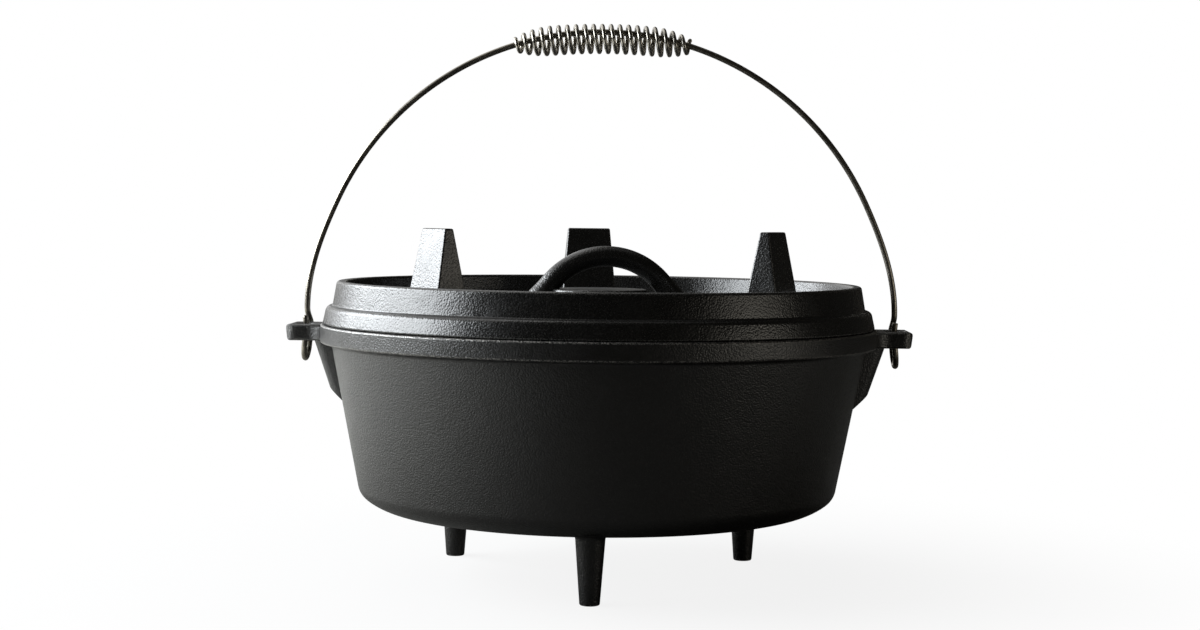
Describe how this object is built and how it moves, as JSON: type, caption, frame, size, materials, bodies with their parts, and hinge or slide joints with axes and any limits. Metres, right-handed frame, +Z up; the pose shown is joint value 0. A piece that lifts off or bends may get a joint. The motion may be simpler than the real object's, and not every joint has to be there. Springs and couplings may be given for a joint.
{
  "type": "camp dutch oven",
  "caption": "Cast iron camp dutch oven on legs, with a flanged lid that carries coals and stands on its own feet, an arched lid handle, and a swinging wire bail with a loose spring grip.",
  "frame": {"origin": "on the ground under the middle of the pot, where its three legs stand", "axes": "+X through the ears, along the bail's swing axis; +Z up; -Y towards the single front leg"},
  "size_m": [0.3738, 0.3324, 0.3316],
  "materials": {
    "pot_iron": "seasoned, fine sand-cast grain, satin",
    "lid_iron": "seasoned, fine sand-cast grain, satin",
    "bail_wire": "drawn bright wire",
    "spring_wire": "drawn bright wire"
  },
  "bodies": {
    "pot": {"pot": "pot_iron"},
    "lid": {"lid": "lid_iron"},
    "bail": {"bail": "bail_wire"},
    "grip": {"spring_grip": "spring_wire"}
  },
  "joints": [
    {"name": "bail_swing", "type": "hinge", "parent": "pot", "child": "bail", "pos_m": [0, 0.01275, 0.1439], "axis": [1, 0, 0], "range_deg": [-135, 70]},
    {"name": "lid_lift", "type": "slide", "parent": "pot", "child": "lid", "axis": [0, 0, 1], "range_m": [0, 0.012]},
    {"name": "grip_turn", "type": "hinge", "parent": "bail", "child": "grip", "pos_m": [0, 0.01275, 0.31836], "axis": [1, 0, 0], "range_deg": [-12, 12]}
  ]
}
